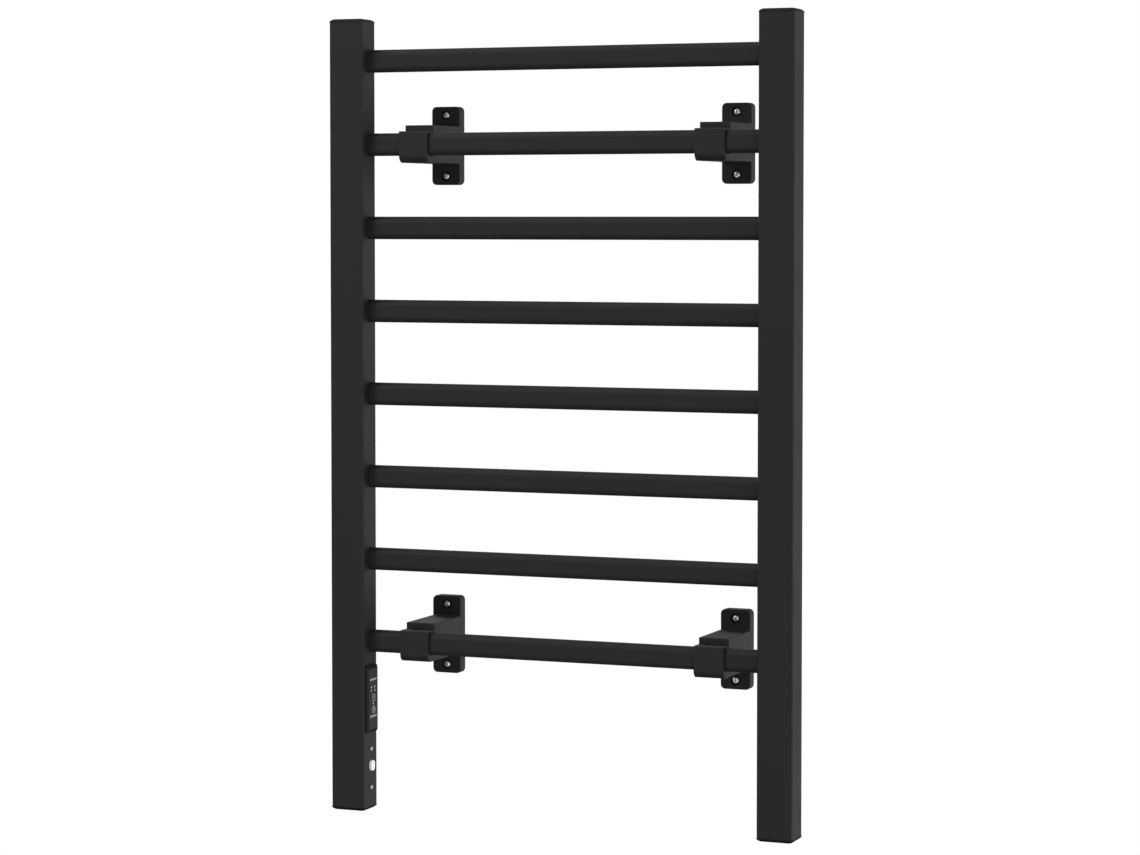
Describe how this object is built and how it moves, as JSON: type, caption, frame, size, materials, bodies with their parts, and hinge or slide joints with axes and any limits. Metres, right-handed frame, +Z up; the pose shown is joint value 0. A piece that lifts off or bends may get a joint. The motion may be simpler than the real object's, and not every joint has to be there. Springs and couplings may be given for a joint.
{
  "type": "towel warmer rack",
  "caption": "Wall-hung heated towel rack: two rectangular posts joined by flat round-edged bars, hooked on four wall brackets, with a small key module on one post.",
  "frame": {"origin": "middle of the wall screw pattern of the four brackets, in the plane of the wall", "axes": "+Z up, +Y into the wall, +X to the right seen from the front; the front faces -Y"},
  "size_m": [0.517, 0.1394, 0.8422],
  "materials": {
    "black_coat": "satin black powder coat on aluminium",
    "black_casting": "satin black powder coat on a die casting",
    "black_plastic": "fine-grained black plastic",
    "face_plastic": "smooth dark plastic",
    "legend_grey": "light grey print",
    "light_guide": "milky clear plastic",
    "bright_steel": "bright nickel plate",
    "bare_aluminium": "as sawn",
    "cable_silicone": "smooth silicone",
    "cutout_ceramic": "unglazed ceramic",
    "board_green": "solder resist",
    "switch_grey": "moulded plastic",
    "relay_blue": "moulded plastic",
    "terminal_green": "moulded plastic",
    "inlet_white": "smooth white plastic",
    "pin_brass": "nickelled brass",
    "wire_brown": "wire insulation",
    "pad_rubber": "matt rubber"
  },
  "bodies": {
    "wall_brackets": {"bracket_upper_left": "black_casting", "bracket_upper_right": "black_casting", "bracket_lower_left": "black_casting", "bracket_lower_right": "black_casting", "hook_upper_left": "black_casting", "hook_upper_right": "black_casting", "hook_lower_left": "black_casting", "hook_lower_right": "black_casting", "bar_pads": "pad_rubber", "clamp_screws": "bright_steel", "wall_screws": "bright_steel"},
    "rack": {"left_post": "black_coat", "right_post": "black_coat", "bar_1": "black_coat", "bar_2": "black_coat", "bar_3": "black_coat", "bar_4": "black_coat", "bar_5": "black_coat", "bar_6": "black_coat", "bar_7": "black_coat", "bar_8": "black_coat", "cap_top_left": "black_plastic", "cap_top_right": "black_plastic", "cap_bottom_left": "black_plastic", "cap_bottom_right": "black_plastic", "anchors_left": "bare_aluminium", "anchors_right": "bare_aluminium", "anchor_screws_left": "bright_steel", "anchor_screws_right": "bright_steel", "heating_cable": "cable_silicone", "thermal_cutout": "cutout_ceramic", "control_housing": "black_plastic", "control_face": "face_plastic", "circuit_board": "board_green", "switch_bodies": "switch_grey", "power_relay": "relay_blue", "terminal_blocks": "terminal_green", "indicator_lights": "light_guide", "face_strips": "legend_grey", "inlet_body": "inlet_white", "inlet_pins": "pin_brass", "inlet_clip": "bright_steel", "inlet_carrier": "bright_steel", "carrier_screws": "bright_steel", "supply_leads": "wire_brown"},
    "timer_key": {"timer_button": "face_plastic", "timer_mark": "legend_grey"},
    "power_key": {"power_button": "face_plastic", "power_mark": "legend_grey"}
  },
  "joints": [
    {"name": "rack_side_shift", "type": "slide", "parent": "wall_brackets", "child": "rack", "axis": [1, 0, 0], "range_m": [-0.038, 0.038]},
    {"name": "timer_key_press", "type": "slide", "parent": "rack", "child": "timer_key", "axis": [-1, 0, 0], "range_m": [0, 0.0006], "stiffness_N_per_m": 1500, "springref_m": -0.0003},
    {"name": "power_key_press", "type": "slide", "parent": "rack", "child": "power_key", "axis": [-1, 0, 0], "range_m": [0, 0.0006], "stiffness_N_per_m": 1500, "springref_m": -0.0003}
  ]
}
